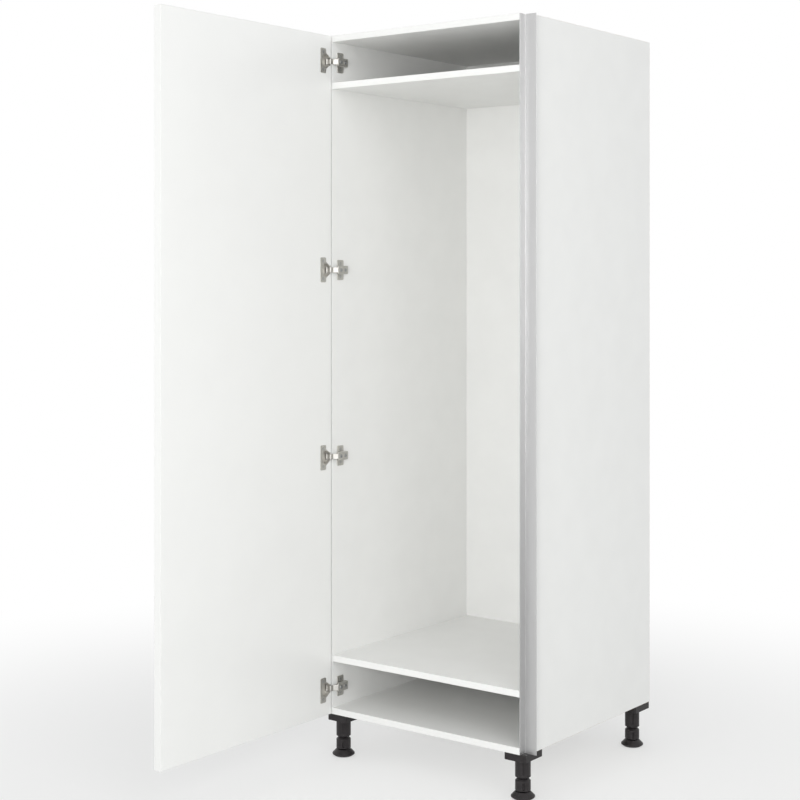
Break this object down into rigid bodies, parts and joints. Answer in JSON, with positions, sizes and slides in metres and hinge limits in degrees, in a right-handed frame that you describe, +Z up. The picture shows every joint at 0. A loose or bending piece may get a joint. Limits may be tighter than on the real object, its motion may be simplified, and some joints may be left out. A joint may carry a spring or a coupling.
{
  "type": "fridge housing unit",
  "caption": "Tall open-fronted cabinet for a built-in fridge, with a full-height door on concealed hinges, a vertical recessed grip profile and adjustable feet.",
  "frame": {"origin": "on the floor under the middle of the bounding box, with the door open at 90 degrees and the feet at 110 mm", "axes": "+X to the right seen from the front, +Y to the back, +Z up; the open door points along -Y"},
  "size_m": [0.623, 1.196, 1.863],
  "materials": {
    "carcass_board": "white melamine-faced chipboard, fine pearl texture",
    "door_board": "white lacquered board, satin",
    "edge_band": "white ABS edge band",
    "profile_aluminium": "anodised, light grey",
    "foot_plastic": "moulded black polypropylene",
    "hinge_nickel": "nickel-plated steel and die-cast zinc",
    "steel": "zinc-plated steel",
    "zinc": "die-cast zinc",
    "cap_plastic": "white moulded cap",
    "beech": "fluted beech"
  },
  "bodies": {
    "carcass": {"side_panel_left": "carcass_board", "side_panel_right": "carcass_board", "bottom_board": "carcass_board", "niche_floor_board": "carcass_board", "niche_ceiling_board": "carcass_board", "top_board": "carcass_board", "back_panel": "carcass_board", "side_edge_band": "edge_band", "board_edge_bands": "edge_band", "board_dowels": "beech", "cam_bolts": "steel", "cam_housings": "zinc", "cam_caps": "cap_plastic", "back_panel_screws": "steel", "wall_angles": "steel", "wall_angle_screws": "steel", "grip_profile": "profile_aluminium", "foot_sockets": "foot_plastic", "foot_socket_screws": "steel", "foot_sleeves": "foot_plastic", "hinge_plates": "hinge_nickel", "hinge_plate_screws": "steel", "hinge_arms": "hinge_nickel", "hinge_adjusting_screws": "steel"},
    "door": {"door_panel": "door_board", "door_edge_bands": "edge_band", "hinge_cups": "hinge_nickel", "hinge_cup_screws": "steel", "hinge_pins": "steel"},
    "foot_disc_front_left": {"foot_disc_front_left": "foot_plastic"},
    "foot_spindle_front_left": {"foot_spindle_front_left": "foot_plastic"},
    "foot_disc_front_right": {"foot_disc_front_right": "foot_plastic"},
    "foot_spindle_front_right": {"foot_spindle_front_right": "foot_plastic"},
    "foot_disc_rear_left": {"foot_disc_rear_left": "foot_plastic"},
    "foot_spindle_rear_left": {"foot_spindle_rear_left": "foot_plastic"},
    "foot_disc_rear_right": {"foot_disc_rear_right": "foot_plastic"},
    "foot_spindle_rear_right": {"foot_spindle_rear_right": "foot_plastic"}
  },
  "joints": [
    {"name": "door_swing", "type": "hinge", "parent": "carcass", "child": "door", "pos_m": [-0.29825, -0.01125, 0.974], "axis": [0, 0, 1], "range_deg": [-10, 90]},
    {"name": "foot_front_left_lift", "type": "slide", "parent": "carcass", "child": "foot_disc_front_left", "axis": [0, 0, 1], "range_m": [-0.02, 0.0025]},
    {"name": "foot_front_left_turn", "type": "hinge", "parent": "foot_disc_front_left", "child": "foot_spindle_front_left", "pos_m": [-0.2785, 0.032, 0.03], "axis": [0, 0, 1], "range_deg": [-1830, 245]},
    {"name": "foot_front_right_lift", "type": "slide", "parent": "carcass", "child": "foot_disc_front_right", "axis": [0, 0, 1], "range_m": [-0.02, 0.0025]},
    {"name": "foot_front_right_turn", "type": "hinge", "parent": "foot_disc_front_right", "child": "foot_spindle_front_right", "pos_m": [0.2675, 0.032, 0.03], "axis": [0, 0, 1], "range_deg": [-1830, 245]},
    {"name": "foot_rear_left_lift", "type": "slide", "parent": "carcass", "child": "foot_disc_rear_left", "axis": [0, 0, 1], "range_m": [-0.02, 0.0025]},
    {"name": "foot_rear_left_turn", "type": "hinge", "parent": "foot_disc_rear_left", "child": "foot_spindle_rear_left", "pos_m": [-0.2785, 0.553, 0.03], "axis": [0, 0, 1], "range_deg": [-1830, 245]},
    {"name": "foot_rear_right_lift", "type": "slide", "parent": "carcass", "child": "foot_disc_rear_right", "axis": [0, 0, 1], "range_m": [-0.02, 0.0025]},
    {"name": "foot_rear_right_turn", "type": "hinge", "parent": "foot_disc_rear_right", "child": "foot_spindle_rear_right", "pos_m": [0.2675, 0.553, 0.03], "axis": [0, 0, 1], "range_deg": [-1830, 245]}
  ],
  "couplings": [
    {"joint": "foot_front_left_turn", "follows": "foot_front_left_lift", "rad_per_m": 1570.8},
    {"joint": "foot_front_right_turn", "follows": "foot_front_right_lift", "rad_per_m": 1570.8},
    {"joint": "foot_rear_left_turn", "follows": "foot_rear_left_lift", "rad_per_m": 1570.8},
    {"joint": "foot_rear_right_turn", "follows": "foot_rear_right_lift", "rad_per_m": 1570.8}
  ]
}
